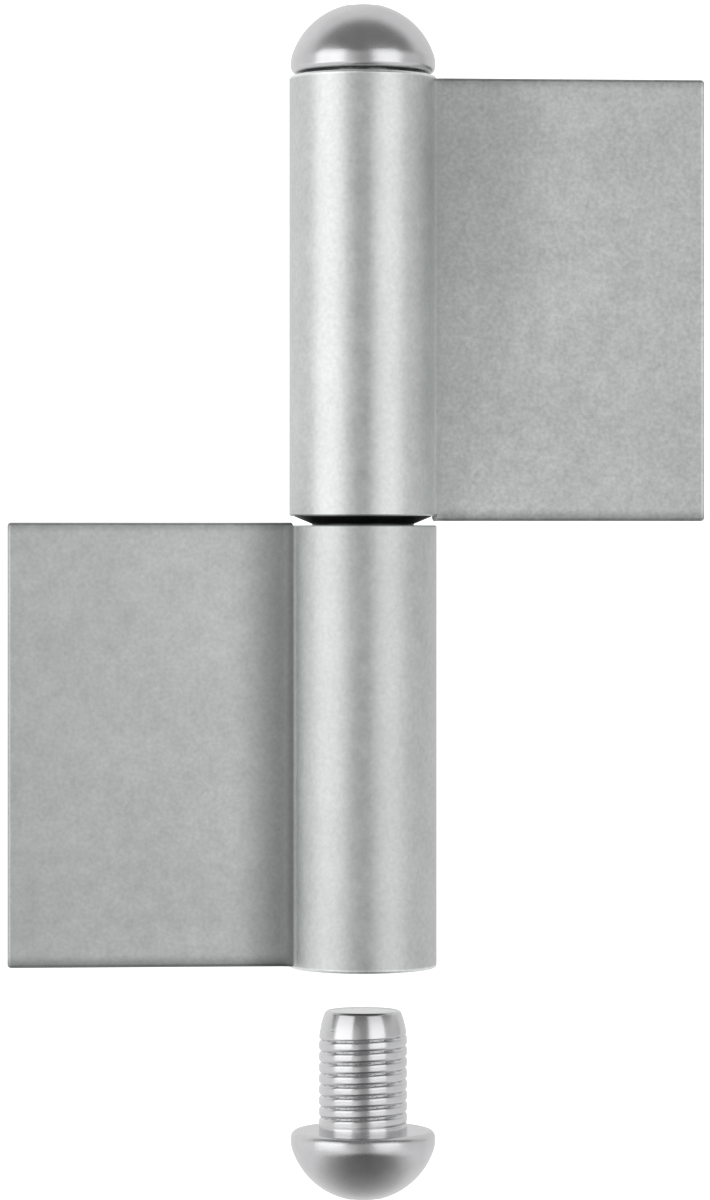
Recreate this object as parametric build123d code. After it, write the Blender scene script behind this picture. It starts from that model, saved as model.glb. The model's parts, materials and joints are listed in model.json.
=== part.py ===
from build123d import *
import os
from math import cos, pi, sqrt

# Weld-on flag hinge. The hinge axis is Z and the two leaves part at z = 0.
# The leaves lie in the XZ plane: the lower one reaches towards -X, the upper one towards +X,
# and the front of the hinge faces -Y. Everything is in millimetres.

# Knuckles and leaves
knuckle_diameter = 20.0
leaf_thickness = 5.0
leaf_height = 60.0  # of each leaf, along the hinge axis
lower_leaf_reach = 48.1  # from the hinge axis to the leaf's outer edge
upper_leaf_reach = 46.4
leaf_parting = 0.2  # slit between the ends of the two leaves
knuckle_overhang = 0.35  # how far a knuckle stands past the outer end of its leaf
root_hollow_radius = 2.5  # hollow between knuckle and leaf, on one face only
leaf_edge_round = 0.5
knuckle_rim_round = 0.4

# Bearing between the knuckles
washer_diameter = 18.6  # across the washer's rim, at the top
washer_foot_diameter = 13.8
washer_thickness = 1.3
washer_foot_height = 0.2
washer_rim_height = 0.1
washer_slack = 0.2  # between the washer's hole and the pin
lower_knuckle_setback = 0.48  # from the middle of the slit down to the lower knuckle
knuckle_end_bevel = 0.15  # round the end that the washer runs against
facing_overcut = 0.2  # how far the facing cut runs past the knuckle, into the leaf

# Pin and its bores
pin_diameter = 10.0
pin_end_chamfer = 0.8
pin_setback = 0.5  # each end of the pin, below the floor of the tapped bore
running_clearance = 0.05  # pin in the upper knuckle, which turns on it

# Tapped ends, M12 x 1.5
thread_diameter = 12.0
tapped_floor_room = 1.15  # left between the cap's tip and the floor of the tapped bore
tapped_floor_slope = 0.6  # height of the cone that the drill leaves at the floor
tapped_mouth_chamfer = 0.5
thread_clearance = 0.05

# Domed cap screws
cap_rim_setback = 0.2  # how far the head's rim stays inside the knuckle's
cap_head_height = 9.55  # to the top of the full dome
cap_rim_height = 2.05  # straight part of the head, below the dome
cap_rim_round = 0.9
cap_shoulder_round = 3.0  # where the rim runs into the dome
cap_shank_length = 16.2
cap_tip_reduction = 0.9  # how much the tip is smaller than the thread, in radius
cap_lead_in_length = 4.4
cap_tip_chamfer = 0.2
cap_seat_gap = 0.35  # left under the head when the cap is screwed home
socket_across_flats = 5.0
socket_depth = 4.0  # of the six flats, from where they leave the dome
lower_cap_withdrawal = 5.9  # from the lower knuckle's end to the tip of its cap

# Worked out from the sizes above
knuckle_radius = knuckle_diameter / 2
leaf_inner_end = leaf_parting / 2
leaf_outer_end = leaf_inner_end + leaf_height
upper_knuckle_setback = washer_thickness - lower_knuckle_setback
knuckle_outer_end = leaf_outer_end + knuckle_overhang
tapped_depth = cap_shank_length - cap_seat_gap + tapped_floor_room
tapped_floor = knuckle_outer_end - tapped_depth
tapped_radius = thread_diameter / 2 + thread_clearance
pin_radius = pin_diameter / 2
pin_end = tapped_floor - pin_setback
cap_head_radius = knuckle_radius - cap_rim_setback
dome_rise = cap_head_height - cap_rim_height
dome_radius = (cap_head_radius**2 + dome_rise**2) / (2 * dome_rise)
upper_cap_seat = knuckle_outer_end + cap_seat_gap
lower_cap_seat = knuckle_outer_end + lower_cap_withdrawal + cap_shank_length


def turned(*points):
    """A solid of revolution about Z, from the corners (radius, z) of its outline."""
    return revolve(Plane.XZ * make_face(Polyline(*points, close=True)), Axis.Z)


def drawn_section(reach):
    """The drawn steel section: a round with a flat leaf to +X, hollowed in on the +Y face."""
    section = Circle(knuckle_radius) + Pos(reach / 2, 0) * Rectangle(reach, leaf_thickness)
    root = (sqrt(knuckle_radius**2 - (leaf_thickness / 2) ** 2), leaf_thickness / 2)
    return fillet(section.vertices().sort_by_distance(root)[0], root_hollow_radius)


def knuckle_end_cut(setback):
    """What the facing cut takes off below the upper knuckle, up to its bevelled end."""
    cut_radius = knuckle_radius + facing_overcut
    return turned(
        (0, 0),
        (cut_radius, 0),
        (cut_radius, setback + knuckle_end_bevel + facing_overcut),
        (knuckle_radius - knuckle_end_bevel, setback),
        (0, setback),
    )


def knuckle_bore(plain_radius):
    """The pin's bore, opened out to the tapped bore at the knuckle's outer end."""
    mouth_radius = tapped_radius + tapped_mouth_chamfer
    return turned(
        (0, 0),
        (plain_radius, 0),
        (plain_radius, tapped_floor - tapped_floor_slope),
        (tapped_radius, tapped_floor),
        (tapped_radius, knuckle_outer_end - tapped_mouth_chamfer),
        (mouth_radius, knuckle_outer_end),
        (0, knuckle_outer_end),
    )


def rounded_section(reach):
    """The drawn section cut to the leaf's height, with its sharp edges rounded."""
    blank = Pos(0, 0, leaf_inner_end) * extrude(drawn_section(reach), leaf_height)
    ends = blank.faces().filter_by(Axis.Z)
    outer_face = blank.faces().sort_by(Axis.X)[-1]
    upright_edges = outer_face.edges().filter_by(Axis.Z)
    return fillet(ends.edges() + upright_edges, leaf_edge_round)


def hinge_half(reach, bore_radius, setback):
    """One half, above z = 0 and reaching to +X: drawn section, faced, bored and tapped."""
    knuckle = extrude(Circle(knuckle_radius), knuckle_outer_end - leaf_inner_end)
    half = rounded_section(reach) + Pos(0, 0, leaf_inner_end) * knuckle - knuckle_end_cut(setback)
    rim = half.edges().filter_by(GeomType.CIRCLE).sort_by(Axis.Z)[-1]
    return fillet(rim, knuckle_rim_round) - knuckle_bore(bore_radius)


def upper_leaf():
    return hinge_half(upper_leaf_reach, pin_radius + running_clearance, upper_knuckle_setback)


def lower_leaf():
    """The lower half grips the pin, and is the upper one's opposite hand."""
    half = hinge_half(lower_leaf_reach, pin_radius, lower_knuckle_setback)
    return Rot(0, 0, 180) * mirror(half, Plane.XY)


def hinge_pin():
    return turned(
        (0, -pin_end),
        (pin_radius - pin_end_chamfer, -pin_end),
        (pin_radius, pin_end_chamfer - pin_end),
        (pin_radius, pin_end - pin_end_chamfer),
        (pin_radius - pin_end_chamfer, pin_end),
        (0, pin_end),
    )


def bearing_washer():
    """A ring whose rim tapers in to a narrower foot, which stands on the lower knuckle."""
    hole_radius = pin_radius + washer_slack
    foot_radius = washer_foot_diameter / 2
    rim_radius = washer_diameter / 2
    return turned(
        (hole_radius, -lower_knuckle_setback),
        (foot_radius, -lower_knuckle_setback),
        (foot_radius, washer_foot_height - lower_knuckle_setback),
        (rim_radius, upper_knuckle_setback - washer_rim_height),
        (rim_radius, upper_knuckle_setback),
        (hole_radius, upper_knuckle_setback),
    )


def cap_outline():
    """Half outline of a cap screw: dome up, thread down, the head's underside at z = 0."""
    thread_radius = thread_diameter / 2
    tip_radius = thread_radius - cap_tip_reduction
    lead_in_radius = (cap_lead_in_length**2 + cap_tip_reduction**2) / (2 * cap_tip_reduction)
    head = [
        Line((0, 0), (cap_head_radius, 0)),
        Line((cap_head_radius, 0), (cap_head_radius, cap_rim_height)),
        RadiusArc((cap_head_radius, cap_rim_height), (0, cap_head_height), -dome_radius),
        Line((0, cap_head_height), (0, 0)),
    ]
    head = make_face(head)
    rim = head.vertices().sort_by_distance((cap_head_radius, 0))[0]
    head = fillet(rim, cap_rim_round)
    shoulder = head.vertices().sort_by_distance((cap_head_radius, cap_rim_height))[0]
    head = fillet(shoulder, cap_shoulder_round)
    lead_in_top = (thread_radius, cap_lead_in_length - cap_shank_length)
    shank = [
        Line((0, 0), (0, -cap_shank_length)),
        Line((0, -cap_shank_length), (tip_radius, -cap_shank_length)),
        RadiusArc((tip_radius, -cap_shank_length), lead_in_top, -lead_in_radius),
        Line(lead_in_top, (thread_radius, 0)),
        Line((thread_radius, 0), (0, 0)),
    ]
    shank = make_face(shank)
    tip = shank.vertices().sort_by_distance((tip_radius, -cap_shank_length))[0]
    return head + chamfer(tip, cap_tip_chamfer)


def cap_socket():
    """The hexagon socket in the dome, with the cone that its drill leaves below the flats."""
    corner_radius = socket_across_flats / 2 / cos(pi / 6)
    mouth = cap_head_height - dome_radius + sqrt(dome_radius**2 - corner_radius**2)
    floor = mouth - socket_depth
    flats = extrude(RegularPolygon(corner_radius, 6), cap_head_height - floor)
    cone_radius = socket_across_flats / 2
    cone = turned((0, floor), (cone_radius, floor), (0, floor - cone_radius / sqrt(3)))
    return Pos(0, 0, floor) * flats + cone


def cap_screw():
    return revolve(Plane.XZ * cap_outline(), Axis.Z) - cap_socket()


def upper_cap_screw():
    return Pos(0, 0, upper_cap_seat) * cap_screw()


def lower_cap_screw():
    return Pos(0, 0, -lower_cap_seat) * Rot(180, 0, 0) * cap_screw()


def main():
    os.makedirs("parts", exist_ok=True)
    pieces = (upper_leaf, lower_leaf, hinge_pin, bearing_washer, upper_cap_screw, lower_cap_screw)
    for piece in pieces:
        export_step(piece(), f"parts/{piece.__name__}.step")


main()
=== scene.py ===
import json
from collections import namedtuple
from math import atan2, ceil, cos, pi, radians, sin, sqrt

import bmesh
import bpy
from bpy.props import FloatProperty, FloatVectorProperty, IntProperty, PointerProperty
from bpy.types import Operator, Panel, PropertyGroup
from mathutils import Matrix, Vector


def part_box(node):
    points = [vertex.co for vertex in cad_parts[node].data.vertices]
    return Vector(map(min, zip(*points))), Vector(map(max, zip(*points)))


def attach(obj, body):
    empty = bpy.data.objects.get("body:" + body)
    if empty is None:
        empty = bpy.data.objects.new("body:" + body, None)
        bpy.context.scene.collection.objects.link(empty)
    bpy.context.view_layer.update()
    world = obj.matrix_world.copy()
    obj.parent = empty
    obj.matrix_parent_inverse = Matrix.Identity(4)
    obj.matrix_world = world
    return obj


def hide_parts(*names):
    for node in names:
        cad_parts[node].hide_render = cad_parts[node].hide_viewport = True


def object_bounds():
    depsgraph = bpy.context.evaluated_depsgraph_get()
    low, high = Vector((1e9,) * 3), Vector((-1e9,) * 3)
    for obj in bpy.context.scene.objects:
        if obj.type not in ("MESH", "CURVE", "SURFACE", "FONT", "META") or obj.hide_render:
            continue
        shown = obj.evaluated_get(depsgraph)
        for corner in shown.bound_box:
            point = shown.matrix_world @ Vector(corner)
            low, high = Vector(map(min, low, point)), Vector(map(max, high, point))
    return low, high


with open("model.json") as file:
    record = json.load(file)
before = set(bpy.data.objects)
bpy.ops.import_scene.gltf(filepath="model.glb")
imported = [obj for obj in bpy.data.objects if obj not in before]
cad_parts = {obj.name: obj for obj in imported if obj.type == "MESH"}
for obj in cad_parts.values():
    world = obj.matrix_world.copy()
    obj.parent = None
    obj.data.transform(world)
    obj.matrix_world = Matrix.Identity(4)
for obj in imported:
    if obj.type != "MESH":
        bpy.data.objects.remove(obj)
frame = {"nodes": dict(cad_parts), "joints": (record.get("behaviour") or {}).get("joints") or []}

bl_info = {
    "name": "Weld-on Flag Hinge",
    "version": (1, 0, 0),
    "blender": (4, 5, 0),
    "location": "3D View > Sidebar > Hinge",
    "description": "Dresses a weld-on hinge: zinc finishes, domed cap screws, threads and a studio",
    "category": "Add Mesh",
}

CAD_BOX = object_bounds()
UPPER_CAP_LOW, UPPER_CAP_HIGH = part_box("upper_cap_screw")
LOWER_CAP_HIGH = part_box("lower_cap_screw")[1]
UPPER_LEAF_LOW, UPPER_LEAF_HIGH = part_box("upper_leaf")
LOWER_LEAF_LOW, LOWER_LEAF_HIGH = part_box("lower_leaf")
KNUCKLE_RADIUS = (UPPER_LEAF_HIGH.y - UPPER_LEAF_LOW.y) / 2

PICTURE_WIDTH = 710
PICTURE_HEIGHT = 1200
SENSOR_HEIGHT = 24.0


# Properties

def length_property(name, description, default):
    """A size in metres, shown as a distance."""
    return FloatProperty(
        name=name, description=description, default=default, min=0.0, precision=5, subtype="DISTANCE"
    )


def height_property(name, description, default):
    """A height in metres, which may lie below the middle of the hinge."""
    return FloatProperty(
        name=name, description=description, default=default, precision=5, subtype="DISTANCE"
    )


def place_property(name, description, default):
    return FloatVectorProperty(
        name=name, description=description, default=default, size=3, precision=5, subtype="TRANSLATION"
    )


def colour_property(name, description, default):
    return FloatVectorProperty(
        name=name, description=description, default=default, size=3, min=0.0, max=1.0, subtype="COLOR"
    )


def share_property(name, description, default):
    return FloatProperty(
        name=name, description=description, default=default, min=0.0, max=1.0, subtype="FACTOR"
    )


def angle_property(name, description, degrees):
    return FloatProperty(name=name, description=description, default=radians(degrees), subtype="ANGLE")


def pixel_property(name, description, default):
    return FloatProperty(name=name, description=description, default=default, subtype="PIXEL")


def power_property(name, description, default):
    return FloatProperty(name=name, description=description, default=default, min=0.0, subtype="POWER")


def count_property(name, description, default, least):
    return IntProperty(name=name, description=description, default=default, min=least)


class HingeCapSizes(PropertyGroup):
    """The domed cap screw, measured from the underside of its head."""

    head_diameter: length_property(
        "Head diameter", "Across the rim of the domed head", UPPER_CAP_HIGH.x - UPPER_CAP_LOW.x
    )
    head_height: length_property("Head height", "To the top of the full dome", 0.00955)
    rim_height: length_property("Rim height", "Straight part of the head, below the dome", 0.00205)
    rim_round: length_property("Rim round", "Radius at the lower edge of the rim", 0.0009)
    shoulder_round: length_property("Shoulder round", "Radius where the rim runs into the dome", 0.003)
    shank_length: length_property("Shank length", "From the head to the tip", 0.0162)
    tip_reduction: length_property("Tip reduction", "How much smaller the tip's radius is", 0.0009)
    lead_in_length: length_property("Lead-in length", "Curved part of the shank at its tip", 0.0044)
    tip_chamfer: length_property("Tip chamfer", "Broken edge round the tip's end face", 0.0002)
    socket_across_flats: length_property("Socket across flats", "Size of the hexagon key", 0.005)
    socket_depth: length_property("Socket depth", "Height of the socket's six flats", 0.004)
    socket_edge_break: length_property("Socket edge break", "Bevel round the mouth of the socket", 0.00013)


class HingeThreadSizes(PropertyGroup):
    """The screw thread of the caps and of the bores that take them."""

    diameter: length_property("Diameter", "Outer diameter of the thread", 0.012)
    pitch: length_property("Pitch", "Advance in one turn", 0.0015)
    depth: length_property("Depth", "From the crest down to the root", 0.0003)
    groove_half_width: length_property("Groove half width", "From the groove's middle to the crest", 0.00046)
    plain_tip: length_property("Plain tip", "Length of the tip that has no groove yet", 0.0015)
    plain_neck: length_property("Plain neck", "Length below the head with no groove", 0.0005)
    run_out: length_property("Run-out", "Length over which a groove fades", 0.001)
    flank_gap: length_property("Flank gap", "Room between the cap's thread and the bore's", 0.00008)
    bore_depth: length_property("Bore depth", "Depth of the tapped bore", 0.017)
    bore_clearance: length_property("Bore clearance", "Bore radius beyond the thread's", 0.00005)
    mouth_chamfer: length_property("Mouth chamfer", "Chamfer at the mouth of the tapped bore", 0.0005)
    groove_height: height_property(
        "Groove height", "Height of a groove at the front of the drawn-out cap", -0.0744
    )


class HingeMeshing(PropertyGroup):
    """How finely the turned pieces are divided."""

    segments: count_property("Segments", "Divisions round the axis, a multiple of six", 144, 24)
    rows_per_pitch: count_property("Rows per pitch", "Divisions along one turn of the thread", 20, 6)
    dome_steps: count_property("Dome steps", "Divisions of the dome round the socket", 26, 4)
    shoulder_steps: count_property("Shoulder steps", "Divisions of the dome's shoulder", 6, 2)
    rim_steps: count_property("Rim steps", "Divisions of the round at the rim's lower edge", 8, 2)


class HingeFinishes(PropertyGroup):
    """Colours and smoothness of the metal."""

    leaf_colour: colour_property(
        "Leaf colour", "Satin zinc of the leaves and knuckles", (0.635, 0.655, 0.645)
    )
    leaf_roughness: share_property("Leaf roughness", "Of the flat leaves", 0.5)
    knuckle_roughness: share_property("Knuckle roughness", "Of the upper knuckle", 0.4)
    lower_knuckle_roughness: share_property("Lower knuckle roughness", "Of the lower knuckle", 0.44)
    grain: share_property("Grain", "How far the zinc's crystals differ in brightness", 0.11)
    upper_grain: share_property("Upper grain", "How much further they differ on the upper leaf", 0.13)
    cap_colour: colour_property("Cap colour", "Bright zinc of the cap screws", (0.63, 0.63, 0.64))
    cap_roughness: share_property("Cap roughness", "Of the cap screws' heads", 0.26)
    thread_roughness: share_property("Thread roughness", "Of their rolled threads", 0.18)
    pin_colour: colour_property("Pin colour", "Ground steel of the pin", (0.5, 0.5, 0.51))
    pin_roughness: share_property("Pin roughness", "Of the ground pin", 0.22)
    # Painted shade: the washer is near-black for the shaded gap between the knuckles.
    washer_colour: colour_property("Washer colour", "Greased dark steel of the washer", (0.07, 0.07, 0.074))
    washer_roughness: share_property("Washer roughness", "Of the greased washer", 0.4)


class HingePlating(PropertyGroup):
    """Painted shade and highlights on the zinc of the leaves and knuckles, and gains of whole parts."""

    leaf_start: length_property("Leaf start", "From the knuckle's round to where its own look ends", 0.00005)
    leaf_full: length_property("Leaf full", "From the knuckle's round to where the leaf's is full", 0.0012)
    upper_brightness: share_property("Upper brightness", "Gain of the upper leaf on its knuckle", 0.05)
    lower_brightness: share_property("Lower brightness", "Gain of the lower leaf on its knuckle", 0.15)
    lower_knuckle: share_property("Lower knuckle", "How much darker the lower knuckle is", 0.06)

    # Painted shade in the hollow beside the knuckle, darkest along its root.
    hollow_middle: place_property(
        "Hollow middle", "Of the hollow beside the knuckle, across the upper half", (0.0106, 0.003, 0)
    )
    hollow_reach: length_property("Hollow reach", "How far from there the zinc is dull", 0.0078)
    hollow_dullness: share_property("Hollow dullness", "How dark the zinc turns there", 0.54)
    hollow_start: length_property("Hollow start", "From the knuckle's round to where that is full", 0.00024)
    root_middle: place_property(
        "Root middle", "Deepest line of the hollow, across the upper half", (0.01, 0.00297, 0)
    )
    root_reach: length_property("Root reach", "How far from there it is darker still", 0.0015)
    root_dullness: share_property("Root dullness", "How much darker it is at the root", 0.5)

    # Painted shade on the upper leaf beside the knuckle.
    patch_middle: place_property(
        "Patch middle", "Of the cloudy patch on the upper leaf", (0.016, -0.0025, 0.057)
    )
    patch_reach: length_property("Patch reach", "How far the patch goes across the leaf", 0.0134)
    patch_stretch: FloatProperty(
        name="Patch stretch",
        description="How many times further it goes along the knuckle",
        default=5.0,
        min=1.0,
    )
    patch_dullness: share_property("Patch dullness", "How dark the patch is in its middle", 0.25)

    # Painted shade towards the leaves' outer edges.
    fall_start: length_property("Fall start", "From the hinge axis to where the leaves turn darker", 0.023)
    fall_end: length_property("Fall end", "From the hinge axis to where they are darkest", 0.048)
    fall_dullness: share_property("Fall dullness", "How dark they turn outwards", 0.12)

    # Painted shade along the upper and the lower end of each leaf.
    knuckle_overhang: length_property("Knuckle overhang", "How far a knuckle stands past its leaf", 0.00035)
    top_start: length_property("Top start", "Below a leaf's upper end, where the zinc is dullest", 0.0003)
    top_end: length_property("Top end", "Below a leaf's upper end, where that is over", 0.0016)
    top_dullness: share_property("Top dullness", "How dark it turns along the upper end", 0.25)
    foot_start: length_property("Foot start", "Above a leaf's lower end, where the zinc is dullest", 0.0002)
    foot_end: length_property("Foot end", "Above a leaf's lower end, where that is over", 0.0019)
    foot_dullness: share_property("Foot dullness", "How dark it turns along the lower end", 0.42)

    # Painted shade on the round of the lower leaf's outer edge, a painted highlight on the upper leaf's.
    edge_start: length_property("Edge start", "From a leaf's outer edge, where its round shows most", 0.0001)
    edge_end: length_property("Edge end", "From a leaf's outer edge to the inside of its round", 0.0006)
    lower_edge: share_property("Lower edge", "How dark the lower leaf's outer edge is", 0.24)
    upper_edge: share_property("Upper edge", "How bright the upper leaf's outer edge is", 0.1)

    # Painted highlight along the knuckles' outer rims.
    rim_start: length_property("Rim start", "From a knuckle's outer end to the inside of its round", 0.0006)
    rim_full: length_property("Rim full", "From a knuckle's outer end to where its rim is brightest", 0.0003)
    rim_brightness: share_property("Rim brightness", "How bright the knuckles' outer rims are", 0.45)


class HingeStudio(PropertyGroup):
    """Camera, lamps and backdrop."""

    camera_distance: length_property("Camera distance", "From the hinge axis", 0.6)
    camera_azimuth: angle_property("Camera azimuth", "Turned to the hinge's left", -3.85)
    camera_height: height_property("Camera height", "Above the gap between the knuckles", -0.00246)
    focal_pixels: pixel_property("Focal length", "In pixels of the picture", 4419.0)
    axis_column: pixel_property("Axis column", "Where the hinge axis stands in the picture", 363.0)
    horizon_row: pixel_property("Horizon row", "Row of the camera's own height", 540.0)
    left_strength: power_property("Left softbox", "Power of the left softbox", 1.38)
    right_strength: power_property("Right softbox", "Power of the right softbox", 0.96)
    left_azimuth: angle_property("Left azimuth", "Of the left softbox, from straight in front", -58)
    right_azimuth: angle_property("Right azimuth", "Of the right softbox, from straight in front", 35)
    left_width: length_property("Left width", "Width of the left softbox", 0.6)
    right_width: length_property("Right width", "Width of the right softbox", 0.52)
    softbox_height: length_property("Softbox height", "From a softbox's lower edge to its upper one", 0.8)
    softbox_rise: length_property("Softbox rise", "Of a softbox's middle, above the hinge's", 0.13)
    softbox_distance: length_property("Softbox distance", "From the hinge axis", 0.62)
    room_middle: share_property("Room in front", "Brightness behind the camera, at its height", 0.38)
    room_sides: share_property("Room at the sides", "Brightness beside that, at the same height", 0.68)
    room_steep: share_property("Room above", "Brightness overhead and underfoot, in front", 0.22)
    room_back: share_property("Room behind", "Brightness of the room behind the hinge", 0.85)
    room_right: share_property("Room at the right", "Brightness there, as a share of the left", 0.74)
    floor_colour: colour_property("Floor colour", "Pale floor", (0.82, 0.82, 0.82))
    floor_glow: share_property("Floor glow", "Glow of the floor to the camera", 0.85)
    shade_mirrored: share_property("Shade mirrored", "Brightness in the metal of the floor underneath", 0.2)
    floor_mirrored: share_property("Floor mirrored", "Brightness in the metal of the floor round that", 0.92)
    floor_middle: share_property("Floor in front", "Brightness of the lane to the camera, as its share", 0.45)
    backdrop_mirrored: share_property("Backdrop mirrored", "Brightness in the metal of the backdrop", 0.95)
    shade_front: length_property("Shade front", "From the hinge forward to the middle of the dim floor", 0.1)
    shade_near: length_property("Shade near", "Where the floor starts to brighten", 0.06)
    shade_far: length_property("Shade far", "Where the floor has its full brightness", 0.19)
    floor_drop: length_property("Floor drop", "From the lowest point down to the floor", 0.06)


# Meshes

def ring(radius, height, segments):
    """Points round the axis. The radius and the height are numbers or functions of the angle."""
    points = []
    for index in range(segments):
        angle = 2 * pi * index / segments
        r = radius(angle) if callable(radius) else radius
        z = height(angle) if callable(height) else height
        points.append(Vector((r * cos(angle), r * sin(angle), z)))
    return points


def skin(name, rings, first_pole=None, last_pole=None):
    """A mesh through rings of points, closed by a pole at each end or from the last ring to the first."""
    mesh = bmesh.new()
    rows = [[mesh.verts.new(point) for point in points] for points in rings]
    count = len(rows[0])
    pairs = list(zip(rows, rows[1:]))
    if first_pole is None:
        pairs.append((rows[-1], rows[0]))
    for low, high in pairs:
        for index in range(count):
            after = (index + 1) % count
            mesh.faces.new((low[index], low[after], high[after], high[index]))
    if first_pole is not None:
        for row, pole in ((rows[0], first_pole), (rows[-1], last_pole)):
            point = mesh.verts.new(pole)
            for index in range(count):
                mesh.faces.new((row[index], row[(index + 1) % count], point))
    bmesh.ops.recalc_face_normals(mesh, faces=mesh.faces)
    for face in mesh.faces:
        face.smooth = True
    data = bpy.data.meshes.new(name)
    mesh.to_mesh(data)
    mesh.free()
    piece = bpy.data.objects.new(name, data)
    bpy.context.scene.collection.objects.link(piece)
    return piece


def sharpen(piece, angle):
    """Creases the edges where faces meet at more than the angle, and leaves the rest smooth."""
    mesh = bmesh.new()
    mesh.from_mesh(piece.data)
    for edge in mesh.edges:
        edge.smooth = not edge.is_manifold or edge.calc_face_angle() < angle
    mesh.to_mesh(piece.data)
    mesh.free()


def arc(centre, radius, start, end, steps):
    """Points (r, z) along an arc, from one angle to the other."""
    turn = (end - start) / steps
    angles = [start + turn * step for step in range(steps + 1)]
    return [(centre[0] + radius * cos(a), centre[1] + radius * sin(a)) for a in angles]


def smooth_step(low, high, value):
    share = min(max((value - low) / (high - low), 0.0), 1.0)
    return share * share * (3 - 2 * share)


# Thread form

def groove(thread, angle, height, groove_height):
    """How deep the thread is cut there, from 0 on the rounded crest to 1 at the sharp root."""
    turns = (height - groove_height) / thread.pitch - angle / (2 * pi)
    distance = abs(turns - round(turns)) * thread.pitch
    return max(1 - distance / thread.groove_half_width, 0.0) ** 2


def shank_radius(cap, thread, angle, height, groove_height):
    """Radius of the cap's shank: the rod with its curved lead-in, and the groove cut into it."""
    rod = thread.diameter / 2
    below = cap.lead_in_length - cap.shank_length - height
    if below > 0:
        bend = (cap.lead_in_length**2 + cap.tip_reduction**2) / (2 * cap.tip_reduction)
        rod -= bend - sqrt(bend**2 - below**2)
    from_tip = height + cap.shank_length
    fade = smooth_step(thread.plain_tip, thread.plain_tip + thread.run_out, from_tip)
    fade *= smooth_step(thread.plain_neck, thread.plain_neck + thread.run_out, -height)
    depth = thread.depth * groove(thread, angle, height, groove_height)
    return min(rod, thread.diameter / 2 - depth * fade)


# Cap screws

DRILL_SHARE = 0.97  # radius of the socket's drill, as a share of half its width across flats
CONE_SHARES = (0.2, 0.5, 0.8, 1)  # radii of the rings on the drill's cone, as shares of its own
OPEN_SHARE = 1.5  # radius of the first full circle round the socket, as a share of its corners'
OPEN_STEPS = (0, 0.04, 0.3, 0.65)  # rings between the socket's mouth and that circle
TIP_SHARE = 0.6  # radius of the ring inside the tip's end face, as a share of its own
CREASE_ANGLE = radians(38)


def cap_head_rings(cap, meshing):
    """The head, from the floor of its socket over the dome to the underside."""
    segments = meshing.segments
    head_radius = cap.head_diameter / 2
    flats = cap.socket_across_flats / 2
    rise = cap.head_height - cap.rim_height
    dome_radius = (head_radius**2 + rise**2) / (2 * rise)
    dome_centre = cap.head_height - dome_radius
    bevel = cap.socket_edge_break

    def hexagon(angle, margin=0.0):
        return (flats + margin) / cos(angle % (pi / 3) - pi / 6)

    def on_dome(radius):
        return dome_centre + sqrt(dome_radius**2 - radius**2)

    corner = flats / cos(pi / 6)
    floor = on_dome(corner) - cap.socket_depth
    drill = DRILL_SHARE * flats
    rings = []
    for share in CONE_SHARES:
        rings.append(ring(drill * share, floor - drill * (1 - share) / sqrt(3), segments))
    rings.append(ring(hexagon, floor, segments))
    rings.append(ring(hexagon, lambda angle: on_dome(hexagon(angle)) - bevel, segments))

    shoulder_radius = head_radius - cap.shoulder_round
    shoulder_rise = sqrt((dome_radius - cap.shoulder_round) ** 2 - shoulder_radius**2)
    shoulder_angle = atan2(shoulder_rise, shoulder_radius)
    open_radius = OPEN_SHARE * corner
    for share in OPEN_STEPS:
        def spread(angle, share=share):
            return hexagon(angle, bevel) * (1 - share) + open_radius * share
        rings.append(ring(spread, lambda angle, spread=spread: on_dome(spread(angle)), segments))

    dome_start = pi / 2 - atan2(open_radius, on_dome(open_radius) - dome_centre)
    outline = arc((0, dome_centre), dome_radius, dome_start, shoulder_angle, meshing.dome_steps)
    shoulder_centre = (shoulder_radius, dome_centre + shoulder_rise)
    outline += arc(shoulder_centre, cap.shoulder_round, shoulder_angle, 0, meshing.shoulder_steps)[1:]
    rim_centre = (head_radius - cap.rim_round, cap.rim_round)
    outline += arc(rim_centre, cap.rim_round, 0, -pi / 2, meshing.rim_steps)
    outline.append((head_radius - 2 * cap.rim_round, 0))
    rings += [ring(radius, height, segments) for radius, height in outline]
    return rings, (0, 0, floor - drill / sqrt(3))


def cap_shank_rings(cap, thread, meshing, groove_height):
    """The threaded shank, from the head down to the tip's end face."""
    segments = meshing.segments
    length = cap.shank_length - cap.tip_chamfer
    rows = ceil(length / thread.pitch * meshing.rows_per_pitch)
    rings = []
    for row in range(rows + 1):
        height = -length * row / rows
        rings.append(ring(lambda a: shank_radius(cap, thread, a, height, groove_height), height, segments))
    tip_radius = thread.diameter / 2 - cap.tip_reduction - cap.tip_chamfer
    rings.append(ring(tip_radius, -cap.shank_length, segments))
    rings.append(ring(tip_radius * TIP_SHARE, -cap.shank_length, segments))
    return rings


def cap_screw(context, name, groove_height):
    """A domed cap screw standing on the underside of its head, dome up."""
    cap = context.scene.hinge_cap
    meshing = context.scene.hinge_meshing
    head, socket_bottom = cap_head_rings(cap, meshing)
    shank = cap_shank_rings(cap, context.scene.hinge_thread, meshing, groove_height)
    piece = skin(name, head + shank, socket_bottom, (0, 0, -cap.shank_length))
    sharpen(piece, CREASE_ANGLE)
    return piece


def cap_seats(cap):
    """Heights of the undersides of the two heads, the lower cap's first."""
    return LOWER_CAP_HIGH.z - cap.shank_length, UPPER_CAP_LOW.z + cap.shank_length


def side_groove(thread, lower_seat):
    """Height of the groove on a cap's +X side, from the underside of its head."""
    return lower_seat - thread.groove_height - thread.pitch / 4


# Shader nodes

NOISE_RANGE = (0.3, 0.7)  # where most values of a noise lie


def new_material(name):
    material = bpy.data.materials.new(name)
    material.use_nodes = True
    return material, material.node_tree, material.node_tree.nodes["Principled BSDF"]


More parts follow.
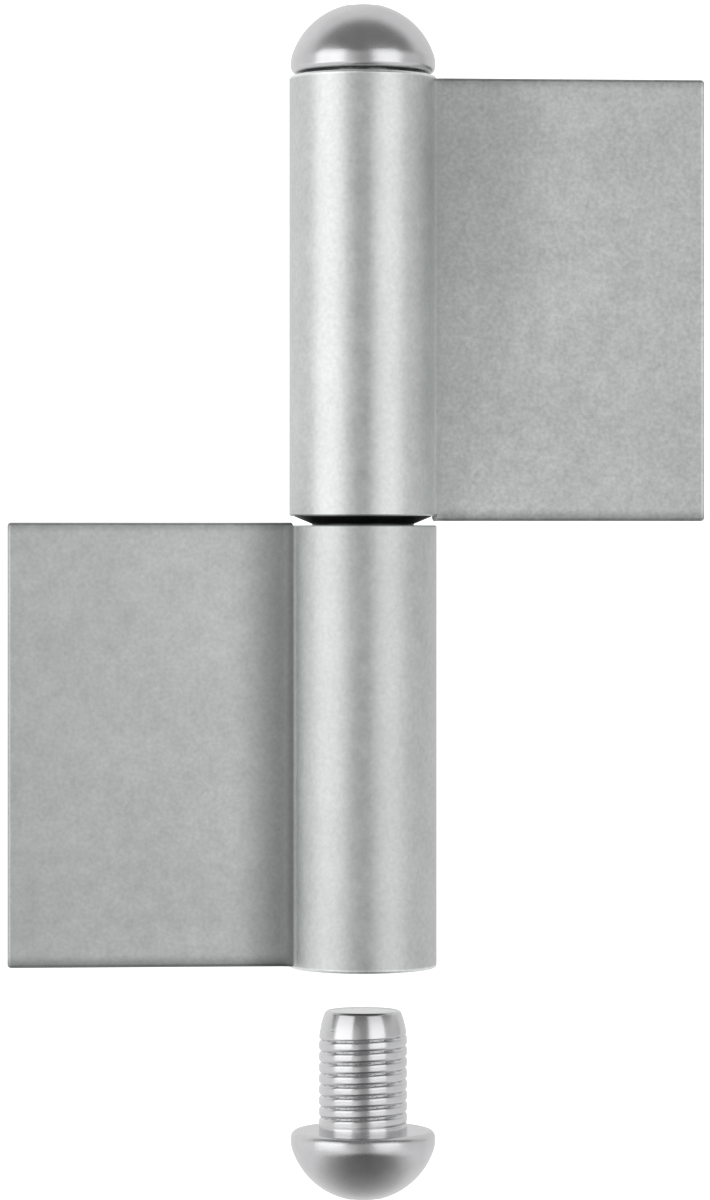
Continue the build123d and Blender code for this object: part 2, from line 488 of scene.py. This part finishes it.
def add_node(tree, kind, **inputs):
    """A new node, with its sockets filled or linked by name."""
    node = tree.nodes.new(kind)
    for key, value in inputs.items():
        plug(tree, node, key.replace("_", " "), value)
    return node


def plug(tree, node, socket, value):
    """Fills the socket of that name or number with the value, or links it to an output."""
    target = node.inputs[int(socket)] if socket.isdigit() else node.inputs[socket]
    if isinstance(value, bpy.types.NodeSocket):
        tree.links.new(value, target)
    else:
        target.default_value = value


def math(tree, operation, first, second=0.0, third=0.0):
    node = tree.nodes.new("ShaderNodeMath")
    node.operation = operation
    for index, value in enumerate((first, second, third)):
        plug(tree, node, str(index), value)
    return node.outputs[0]


def vector_math(tree, operation, first, second=(0, 0, 0)):
    """DISTANCE and LENGTH give a number, the other operations a vector."""
    node = tree.nodes.new("ShaderNodeVectorMath")
    node.operation = operation
    plug(tree, node, "0", first)
    plug(tree, node, "Scale" if operation == "SCALE" else "1", second)
    return node.outputs["Value" if operation in ("DISTANCE", "LENGTH") else "Vector"]


def object_place(tree):
    return tree.nodes.new("ShaderNodeTexCoord").outputs["Object"]


def noise(tree, vector, grain_size, detail=3.0, roughness=0.55):
    """Noise whose spots are about grain_size across, in metres."""
    node = add_node(tree, "ShaderNodeTexNoise", Vector=vector, Scale=1 / grain_size, Detail=detail)
    node.inputs["Roughness"].default_value = roughness
    return node.outputs[0]


def remap(tree, value, low, high, to_low, to_high, smooth=False):
    node = tree.nodes.new("ShaderNodeMapRange")
    node.interpolation_type = "SMOOTHSTEP" if smooth else "LINEAR"
    for index, number in enumerate((value, low, high, to_low, to_high)):
        plug(tree, node, str(index), number)
    return node.outputs[0]


def by_half(tree, height, lower, upper):
    """The first value on the lower half of the hinge, and the second on the upper one."""
    return remap(tree, height, LOWER_LEAF_HIGH.z, UPPER_LEAF_LOW.z, lower, upper)


def uneven(tree, pattern, spread, middle):
    """The middle value, a little more or less with the pattern."""
    return math(tree, "MULTIPLY_ADD", math(tree, "SUBTRACT", pattern, 0.5), spread, middle)


def tint(tree, factor, colour, spread):
    """The colour, from a little darker to a little lighter as the factor goes from 0 to 1."""
    ramp = tree.nodes.new("ShaderNodeValToRGB")
    for element, share in zip(ramp.color_ramp.elements, (1 - spread, 1 + spread)):
        element.color = (*(min(channel * share, 1.0) for channel in colour), 1.0)
    tree.links.new(factor, ramp.inputs[0])
    return ramp.outputs[0]


def stretched(tree, vector, scale):
    return add_node(tree, "ShaderNodeMapping", Vector=vector, Scale=scale).outputs[0]


def make_metal(tree, shader, colour, rough):
    """Bare metal of that colour and roughness."""
    plug(tree, shader, "Base Color", colour)
    plug(tree, shader, "Metallic", 1.0)
    plug(tree, shader, "Roughness", rough)


def add_relief(tree, shader, pattern, strength, depth):
    """Fine relief that follows the pattern."""
    bump = add_node(tree, "ShaderNodeBump", Height=pattern, Strength=strength, Distance=depth)
    plug(tree, shader, "Normal", bump.outputs[0])


# Painted shade and highlights on the zinc of the leaves and knuckles

Spot = namedtuple("Spot", "place across from_axis height from_middle on_leaf")


def plated_spot(tree, painted_light):
    """Where a point of the plated steel is on the hinge, as sockets."""
    place = object_place(tree)
    across = vector_math(tree, "MULTIPLY", place, (1, 1, 0))
    from_axis = vector_math(tree, "LENGTH", across)
    height = add_node(tree, "ShaderNodeSeparateXYZ", Vector=place).outputs["Z"]
    from_middle = math(tree, "ABSOLUTE", height)
    leaf_start = KNUCKLE_RADIUS + painted_light.leaf_start
    leaf_full = KNUCKLE_RADIUS + painted_light.leaf_full
    on_leaf = remap(tree, from_axis, leaf_start, leaf_full, 0, 1, True)
    return Spot(place, across, from_axis, height, from_middle, on_leaf)


def dull_near(tree, place, middle, reach, shade_depth):
    """How bright the zinc is under a painted shade: darkest at the middle, and full at that reach from it."""
    gap = vector_math(tree, "DISTANCE", place, middle)
    return remap(tree, gap, 0, reach, 1 - shade_depth, 1, True)


def hollow_shade(tree, spot, painted_light):
    """Painted shade in the hollow beside the knuckle, darkest at its root."""
    section = vector_math(tree, "SCALE", spot.across, math(tree, "SIGN", spot.height))
    hollow = dull_near(tree, section, painted_light.hollow_middle, painted_light.hollow_reach, painted_light.hollow_dullness)
    root = dull_near(tree, section, painted_light.root_middle, painted_light.root_reach, painted_light.root_dullness)
    hollow_start = KNUCKLE_RADIUS + painted_light.hollow_start
    off_knuckle = remap(tree, spot.from_axis, KNUCKLE_RADIUS, hollow_start, 0, 1, True)
    loss = math(tree, "SUBTRACT", math(tree, "MULTIPLY", hollow, root), 1)
    return math(tree, "MULTIPLY_ADD", off_knuckle, loss, 1)


def patch_shade(tree, spot, painted_light):
    """A painted shade on the upper leaf beside the knuckle, drawn out along it."""
    middle = Vector(painted_light.patch_middle)
    middle.z /= painted_light.patch_stretch
    squeezed = stretched(tree, spot.place, (1, 1, 1 / painted_light.patch_stretch))
    return dull_near(tree, squeezed, middle, painted_light.patch_reach, painted_light.patch_dullness)


def fall_shade(tree, spot, painted_light):
    """Painted shade: a little darker towards the leaves' outer edges."""
    most_shaded = 1 - painted_light.fall_dullness
    return remap(tree, spot.from_axis, painted_light.fall_start, painted_light.fall_end, 1, most_shaded)


def end_shade(tree, spot, painted_light):
    """Painted shade along the upper and the lower end of each leaf."""
    outer_end = UPPER_LEAF_HIGH.z - painted_light.knuckle_overhang
    from_outer_end = math(tree, "SUBTRACT", outer_end, spot.from_middle)
    below_top = by_half(tree, spot.height, spot.from_middle, from_outer_end)
    above_foot = by_half(tree, spot.height, from_outer_end, spot.from_middle)
    top = remap(tree, below_top, painted_light.top_start, painted_light.top_end, painted_light.top_dullness, 0, True)
    foot = remap(tree, above_foot, painted_light.foot_start, painted_light.foot_end, painted_light.foot_dullness, 0, True)
    shade_depth = math(tree, "MULTIPLY", spot.on_leaf, math(tree, "MAXIMUM", top, foot))
    return math(tree, "SUBTRACT", 1, shade_depth)


def edge_shade(tree, spot, painted_light):
    """Along the outer edges' rounds: painted shade on the lower leaf, a painted highlight on the upper one.
    """
    outer_edge = by_half(tree, spot.height, -LOWER_LEAF_LOW.x, UPPER_LEAF_HIGH.x)
    from_edge = math(tree, "SUBTRACT", outer_edge, spot.from_axis)
    on_round = remap(tree, from_edge, painted_light.edge_start, painted_light.edge_end, 1, 0, True)
    gain = by_half(tree, spot.height, -painted_light.lower_edge, painted_light.upper_edge)
    return math(tree, "MULTIPLY_ADD", on_round, gain, 1)


def part_shade(tree, spot, painted_light):
    """Gains of the two leaves and the lower knuckle, and a painted highlight on the knuckles' outer rims."""
    leaf = by_half(tree, spot.height, painted_light.lower_brightness, painted_light.upper_brightness)
    rim_start = UPPER_LEAF_HIGH.z - painted_light.rim_start
    rim_full = UPPER_LEAF_HIGH.z - painted_light.rim_full
    rim = remap(tree, spot.from_middle, rim_start, rim_full, 0, painted_light.rim_brightness, True)
    knuckle = math(tree, "ADD", rim, by_half(tree, spot.height, -painted_light.lower_knuckle, 0))
    off_leaf = math(tree, "SUBTRACT", 1, spot.on_leaf)
    gain = math(tree, "MULTIPLY_ADD", spot.on_leaf, leaf, math(tree, "MULTIPLY", knuckle, off_leaf))
    return math(tree, "ADD", gain, 1)


# Each gives one painted shade, highlight or gain, as a factor on the zinc's brightness.
SHADES = (hollow_shade, patch_shade, fall_shade, end_shade, edge_shade, part_shade)


# Materials

def satin_zinc(scene):
    """Satin zinc on drawn steel: mottled and grainy on the leaves, smoother on the knuckles."""
    material, tree, shader = new_material("satin_zinc")
    finishes = scene.hinge_finishes
    spot = plated_spot(tree, scene.hinge_plating)
    crystals = noise(tree, spot.place, grain_size=0.0006, roughness=0.6)
    mottle = noise(tree, spot.place, grain_size=0.0022, detail=2, roughness=0.5)
    clouds = noise(tree, spot.place, grain_size=0.011, detail=2, roughness=0.5)
    along_axis = (1, 1, 0.02)
    drawn = noise(tree, stretched(tree, spot.place, along_axis), grain_size=0.0005, roughness=0.6)

    crystal_share, mottle_share, cloud_share = 0.55, 0.3, 0.25
    darkest, brightest = 0.38, 0.72
    grain = math(tree, "MULTIPLY_ADD", crystals, crystal_share, math(tree, "MULTIPLY", mottle, mottle_share))
    grain = math(tree, "MULTIPLY_ADD", clouds, cloud_share, grain)
    grain = remap(tree, grain, darkest, brightest, 0, 1)
    coarseness = by_half(tree, spot.height, 0, finishes.upper_grain)
    coarseness = math(tree, "MULTIPLY", spot.on_leaf, coarseness)
    brightness = uneven(tree, grain, coarseness, 1)
    # Painted shade, highlights and gains, multiplied into the zinc's brightness.
    for shade in SHADES:
        brightness = math(tree, "MULTIPLY", brightness, shade(tree, spot, scene.hinge_plating))
    colour = tint(tree, grain, finishes.leaf_colour, finishes.grain)

    satin = by_half(tree, spot.height, finishes.lower_knuckle_roughness, finishes.knuckle_roughness)
    satin = remap(tree, spot.on_leaf, 0, 1, satin, finishes.leaf_roughness)
    zinc = vector_math(tree, "SCALE", colour, brightness)
    make_metal(tree, shader, zinc, uneven(tree, mottle, spread=0.16, middle=satin))
    knuckle_relief, drawn_relief = 0.3, 0.12
    relief = math(tree, "MULTIPLY", crystals, remap(tree, spot.on_leaf, 0, 1, knuckle_relief, 1))
    relief = math(tree, "MULTIPLY_ADD", drawn, drawn_relief, relief)
    add_relief(tree, shader, relief, strength=0.35, depth=0.00006)
    return material


def bright_zinc(scene):
    """Smooth bright zinc with faint cloudiness, smoothest on the rolled threads."""
    material, tree, shader = new_material("bright_zinc")
    finishes = scene.hinge_finishes
    place = object_place(tree)
    clouds = noise(tree, place, grain_size=0.003)
    crystals = noise(tree, place, grain_size=0.0004, detail=2, roughness=0.5)
    colour = tint(tree, remap(tree, clouds, *NOISE_RANGE, 0, 1), finishes.cap_colour, spread=0.05)

    height = add_node(tree, "ShaderNodeSeparateXYZ", Vector=place).outputs["Z"]
    lower_seat, upper_seat = cap_seats(scene.hinge_cap)
    seat = by_half(tree, height, -lower_seat, upper_seat)
    below_head = math(tree, "SUBTRACT", seat, math(tree, "ABSOLUTE", height))
    neck = 0.0003
    satin = remap(tree, below_head, 0, neck, finishes.cap_roughness, finishes.thread_roughness)
    make_metal(tree, shader, colour, uneven(tree, clouds, spread=0.12, middle=satin))
    add_relief(tree, shader, crystals, strength=0.2, depth=0.00003)
    return material


def ground_steel(scene):
    """Ground steel, with fine marks round the pin."""
    material, tree, shader = new_material("ground_steel")
    finishes = scene.hinge_finishes
    place = object_place(tree)
    round_axis = (0.05, 0.05, 1)
    marks = noise(tree, stretched(tree, place, round_axis), grain_size=0.00015, roughness=0.6)
    film = noise(tree, place, grain_size=0.004, detail=2, roughness=0.5)
    colour = tint(tree, remap(tree, film, *NOISE_RANGE, 0, 1), finishes.pin_colour, spread=0.08)
    make_metal(tree, shader, colour, uneven(tree, marks, spread=0.12, middle=finishes.pin_roughness))
    add_relief(tree, shader, marks, strength=0.15, depth=0.00002)
    return material


def greased_steel(scene):
    """Dark hardened steel under a film of grease, painted near-black for the shade in the gap."""
    material, tree, shader = new_material("greased_steel")
    finishes = scene.hinge_finishes
    smears = noise(tree, object_place(tree), grain_size=0.0015, roughness=0.6)
    colour = tint(tree, remap(tree, smears, *NOISE_RANGE, 0, 1), finishes.washer_colour, spread=0.3)
    smoothest = 0.8 * finishes.washer_roughness
    roughest = 1.2 * finishes.washer_roughness
    make_metal(tree, shader, colour, remap(tree, smears, *NOISE_RANGE, smoothest, roughest))
    return material


def background_material(name, studio, glow, mirrored):
    """Pale and matt. The metal sees it dim below the hinge and in the lane from there to the camera."""
    material, tree, shader = new_material(name)
    rays = tree.nodes.new("ShaderNodeLightPath")
    mirror = math(tree, "MAXIMUM", rays.outputs["Is Glossy Ray"], rays.outputs["Is Transmission Ray"])
    ramp = tree.nodes.new("ShaderNodeValToRGB")
    ramp.color_ramp.elements[0].color = (*studio.floor_colour, 1.0)
    ramp.color_ramp.elements[1].color = (0.0, 0.0, 0.0, 1.0)
    tree.links.new(mirror, ramp.inputs[0])
    plug(tree, shader, "Base Color", ramp.outputs[0])
    plug(tree, shader, "Roughness", 0.9)
    plug(tree, shader, "Specular IOR Level", 0.0)

    place = object_place(tree)
    shade_narrowing = (1.3, 1, 0)
    narrowed = vector_math(tree, "MULTIPLY", place, shade_narrowing)
    away = vector_math(tree, "DISTANCE", narrowed, (0, -studio.shade_front, 0))
    seen = remap(tree, away, studio.shade_near, studio.shade_far, studio.shade_mirrored, mirrored, True)

    lane_edges = (0.05, 0.5)
    lane_end = (-0.15, 0)
    left_to_right = (-0.5, 0.5)
    parts = add_node(tree, "ShaderNodeSeparateXYZ", Vector=place).outputs
    across, ahead = parts["X"], parts["Y"]
    aside = math(tree, "ABSOLUTE", math(tree, "DIVIDE", across, ahead))
    lane = remap(tree, aside, *lane_edges, studio.floor_middle, 1, True)
    lane = remap(tree, ahead, *lane_end, lane, 1, True)
    side = remap(tree, across, *left_to_right, 1, (1 + studio.room_right) / 2)
    seen = math(tree, "MULTIPLY", math(tree, "MULTIPLY", seen, lane), side)

    plug(tree, shader, "Emission Color", (1, 1, 1, 1))
    direct = math(tree, "MULTIPLY", rays.outputs["Is Camera Ray"], glow)
    plug(tree, shader, "Emission Strength", math(tree, "MULTIPLY_ADD", mirror, seen, direct))
    return material


def finish(maker):
    """The material that the maker gives, made once."""
    return bpy.data.materials.get(maker.__name__) or maker(bpy.context.scene)


def dress(node, material):
    """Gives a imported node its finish."""
    for slot in frame["nodes"][node].material_slots:
        slot.material = material


# Operators

class HINGE_OT_leaves(Operator):
    """Finish the two leaves, with their knuckles, in satin zinc"""

    bl_idname = "hinge.leaves"
    bl_label = "Leaves"

    def execute(self, context):
        dress("upper_leaf", finish(satin_zinc))
        dress("lower_leaf", finish(satin_zinc))
        return {"FINISHED"}


class HINGE_OT_bearing(Operator):
    """Finish the pin and the washer that the upper knuckle turns on"""

    bl_idname = "hinge.bearing"
    bl_label = "Pin and Washer"

    def execute(self, context):
        dress("hinge_pin", finish(ground_steel))
        dress("bearing_washer", finish(greased_steel))
        return {"FINISHED"}


class HINGE_OT_cap_screws(Operator):
    """Build the two domed cap screws with their sockets and threads"""

    bl_idname = "hinge.cap_screws"
    bl_label = "Cap Screws"

    def execute(self, context):
        lower_seat, upper_seat = cap_seats(context.scene.hinge_cap)
        groove_height = side_groove(context.scene.hinge_thread, lower_seat)

        lower = cap_screw(context, "lower_domed_cap", groove_height)
        lower.data.transform(Matrix.Translation((0, 0, lower_seat)) @ Matrix.Rotation(pi, 4, "X"))
        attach(lower, "lower_cap")
        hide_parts("lower_cap_screw")

        upper = cap_screw(context, "upper_domed_cap", groove_height)
        upper.data.transform(Matrix.Translation((0, 0, upper_seat)))
        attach(upper, "upper_cap")
        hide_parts("upper_cap_screw")

        for piece in (lower, upper):
            piece.data.materials.append(finish(bright_zinc))
        return {"FINISHED"}


def bore_thread(context, name, mouth, inward, groove_height):
    """The thread inside a tapped bore, in step with the cap that is screwed home in it."""
    thread = context.scene.hinge_thread
    meshing = context.scene.hinge_meshing
    bore = thread.diameter / 2 + thread.bore_clearance
    hidden = bore + thread.flank_gap
    root = thread.diameter / 2 + thread.flank_gap
    length = thread.bore_depth - thread.mouth_chamfer
    start = mouth + inward * thread.mouth_chamfer
    rows = ceil(length / thread.pitch * meshing.rows_per_pitch)

    def inner(angle, height):
        depth = abs(height - start)
        fade = smooth_step(0, thread.pitch / 2, depth) * smooth_step(0, thread.pitch, length - depth)
        ridge = thread.depth * groove(thread, angle, height, groove_height)
        return hidden + (min(root - ridge, hidden) - hidden) * fade

    rings = []
    for row in range(rows + 1):
        height = start + inward * length * row / rows
        rings.append(ring(lambda a: inner(a, height), height, meshing.segments))
    for share in (1, 0.5, 0):
        rings.append(ring(hidden + thread.depth / 2, start + inward * length * share, meshing.segments))
    return skin(name, rings)


def lower_cap_travel():
    """How far the lower cap's joint carries it up, until it is screwed home."""
    travel = next(joint for joint in frame["joints"] if joint["child"] == "lower_cap")
    return travel["range_m"][1]


class HINGE_OT_bore_threads(Operator):
    """Cut the threads inside the two tapped bores"""

    bl_idname = "hinge.bore_threads"
    bl_label = "Bore Threads"

    def execute(self, context):
        lower_seat, upper_seat = cap_seats(context.scene.hinge_cap)
        groove_height = side_groove(context.scene.hinge_thread, lower_seat)

        upper_groove = upper_seat + groove_height
        upper = bore_thread(context, "upper_bore_thread", UPPER_LEAF_HIGH.z, -1, upper_groove)
        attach(upper, "door_half")

        lower_groove = lower_seat + lower_cap_travel() - groove_height
        lower = bore_thread(context, "lower_bore_thread", LOWER_LEAF_LOW.z, 1, lower_groove)
        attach(lower, "frame_half")

        for piece in (upper, lower):
            piece.data.materials.append(finish(satin_zinc))
        return {"FINISHED"}


class HINGE_OT_studio(Operator):
    """Set up the floor, the backdrop, the softboxes, the room and the camera"""

    bl_idname = "hinge.studio"
    bl_label = "Studio"

    def execute(self, context):
        studio = context.scene.hinge_studio
        floor_height = CAD_BOX[0].z - studio.floor_drop
        for part in backdrop(studio, floor_height):
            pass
        softbox(context, "left_softbox", studio.left_azimuth, studio.left_width, studio.left_strength)
        softbox(context, "right_softbox", studio.right_azimuth, studio.right_width, studio.right_strength)
        room(context, studio)
        camera(context, studio)
        context.scene.view_settings.view_transform = "Standard"
        return {"FINISHED"}


def sheet_along(name, outline, half_width, material):
    """A smooth sheet of that width, along an outline of points (y, z)."""
    mesh = bmesh.new()
    left, right = [[mesh.verts.new((x, y, z)) for y, z in outline] for x in (-half_width, half_width)]
    for index in range(len(outline) - 1):
        mesh.faces.new((left[index], right[index], right[index + 1], left[index + 1]))
    for face in mesh.faces:
        face.smooth = True
    data = bpy.data.meshes.new(name)
    mesh.to_mesh(data)
    mesh.free()
    data.materials.append(material)
    sheet = bpy.data.objects.new(name, data)
    bpy.context.scene.collection.objects.link(sheet)
    return sheet


def backdrop(studio, floor_height):
    """The floor, and behind it the backdrop that curves up from it."""
    half_width = 3.0
    front, seam, back = -0.9, 0.1, 1.5
    height = 2.2
    bend, bend_steps = 0.5, 12
    floor_outline = [(front, floor_height), (seam, floor_height)]
    turns = [pi / 2 * step / bend_steps for step in range(bend_steps + 1)]
    wall_outline = [(seam, floor_height)]
    wall_outline += [(back - bend + bend * sin(a), floor_height + bend - bend * cos(a)) for a in turns]
    wall_outline.append((back, floor_height + height))
    floor_white = background_material("floor_white", studio, studio.floor_glow, studio.floor_mirrored)
    wall_white = background_material("backdrop_white", studio, 1.0, studio.backdrop_mirrored)
    yield sheet_along("floor", floor_outline, half_width, floor_white)
    yield sheet_along("backdrop", wall_outline, half_width, wall_white)


def softbox(context, name, azimuth, width, power):
    """An area lamp that stands upright at that azimuth, and a little higher than the hinge."""
    studio = context.scene.hinge_studio
    lamp = bpy.data.lights.new(name, "AREA")
    lamp.shape = "RECTANGLE"
    lamp.size, lamp.size_y = width, studio.softbox_height
    lamp.energy = power
    holder = bpy.data.objects.new(name, lamp)
    towards = Vector((sin(azimuth), -cos(azimuth), 0))
    holder.location = towards * studio.softbox_distance + Vector((0, 0, studio.softbox_rise))
    holder.rotation_euler = towards.to_track_quat("Z", "Y").to_euler()
    holder.visible_camera = False
    context.scene.collection.objects.link(holder)


def room(context, studio):
    """The world: white to the camera, and to the hinge a pale wall behind and a dimmer room in front."""
    world = bpy.data.worlds.new("room")
    world.use_nodes = True
    tree = world.node_tree
    towards = tree.nodes.new("ShaderNodeTexCoord").outputs["Generated"]
    direction = add_node(tree, "ShaderNodeSeparateXYZ", Vector=towards).outputs
    steep = math(tree, "ABSOLUTE", direction["Z"])
    beside = math(tree, "ABSOLUTE", direction["X"])

    middle_to_sides = (0.05, 0.45)
    level_to_steep = (0.2, 0.6)
    level_to_steep_right = (0.15, 0.6)
    left_to_right = (-0.5, 0.5)
    front_to_back = (-0.1, 0.3)
    level = remap(tree, beside, *middle_to_sides, studio.room_middle, studio.room_sides, True)
    front = remap(tree, steep, *level_to_steep, level, studio.room_steep, True)
    right = remap(tree, steep, *level_to_steep_right, studio.room_right, 1, True)
    right = math(tree, "MULTIPLY", right, studio.room_back)
    back = remap(tree, direction["X"], *left_to_right, studio.room_back, right)
    behind = remap(tree, direction["Y"], *front_to_back, 0, 1, True)
    lit = remap(tree, behind, 0, 1, front, back)

    rays = tree.nodes.new("ShaderNodeLightPath")
    strength = remap(tree, rays.outputs["Is Camera Ray"], 0, 1, lit, 1)
    plug(tree, tree.nodes["Background"], "Color", (1, 1, 1, 1))
    plug(tree, tree.nodes["Background"], "Strength", strength)
    context.scene.world = world


def camera(context, studio):
    """A little to the hinge's left, and level with its middle."""
    lens = bpy.data.cameras.new("camera")
    lens.sensor_fit = "VERTICAL"
    lens.sensor_height = SENSOR_HEIGHT
    lens.lens = SENSOR_HEIGHT * studio.focal_pixels / PICTURE_HEIGHT
    lens.shift_x = (PICTURE_WIDTH / 2 - studio.axis_column) / PICTURE_HEIGHT
    lens.shift_y = (studio.horizon_row - PICTURE_HEIGHT / 2) / PICTURE_HEIGHT
    lens.clip_start = 0.01
    holder = bpy.data.objects.new("camera", lens)
    back = Vector((sin(studio.camera_azimuth), -cos(studio.camera_azimuth), 0))
    holder.location = back * studio.camera_distance + Vector((0, 0, studio.camera_height))
    holder.rotation_euler = back.to_track_quat("Z", "Y").to_euler()
    context.scene.collection.objects.link(holder)
    context.scene.camera = holder


class HINGE_PT_panel(Panel):
    """Sizes, finishes and pieces of the hinge"""

    bl_idname = "HINGE_PT_panel"
    bl_label = "Weld-on Hinge"
    bl_space_type = "VIEW_3D"
    bl_region_type = "UI"
    bl_category = "Hinge"

    def draw(self, context):
        layout = self.layout
        for group, title in GROUPS:
            box = layout.box()
            box.label(text=title)
            properties = getattr(context.scene, group)
            for key in properties.bl_rna.properties.keys():
                if key not in ("rna_type", "name"):
                    box.prop(properties, key)
        for operator in OPERATORS:
            layout.operator(operator.bl_idname)


GROUPS = (
    ("hinge_cap", "Cap screws"),
    ("hinge_thread", "Thread"),
    ("hinge_meshing", "Meshing"),
    ("hinge_finishes", "Finishes"),
    # The zinc's painted shade and highlights.
    ("hinge_plating", "Plating"),
    ("hinge_studio", "Studio"),
)
GROUP_CLASSES = (
    HingeCapSizes, HingeThreadSizes, HingeMeshing, HingeFinishes, HingePlating, HingeStudio
)
OPERATORS = (
    HINGE_OT_leaves, HINGE_OT_bearing, HINGE_OT_cap_screws, HINGE_OT_bore_threads, HINGE_OT_studio
)


def register():
    for group in (*GROUP_CLASSES, *OPERATORS, HINGE_PT_panel):
        bpy.utils.register_class(group)
    for (key, title), group in zip(GROUPS, GROUP_CLASSES):
        setattr(bpy.types.Scene, key, PointerProperty(name=title, type=group))


def unregister():
    for key, title in GROUPS:
        delattr(bpy.types.Scene, key)
    for group in reversed((*GROUP_CLASSES, *OPERATORS, HINGE_PT_panel)):
        bpy.utils.unregister_class(group)


def main():
    register()
    bpy.ops.hinge.leaves()
    bpy.ops.hinge.bearing()
    bpy.ops.hinge.cap_screws()
    bpy.ops.hinge.bore_threads()
    bpy.ops.hinge.studio()


if __name__ == "__main__":
    main()
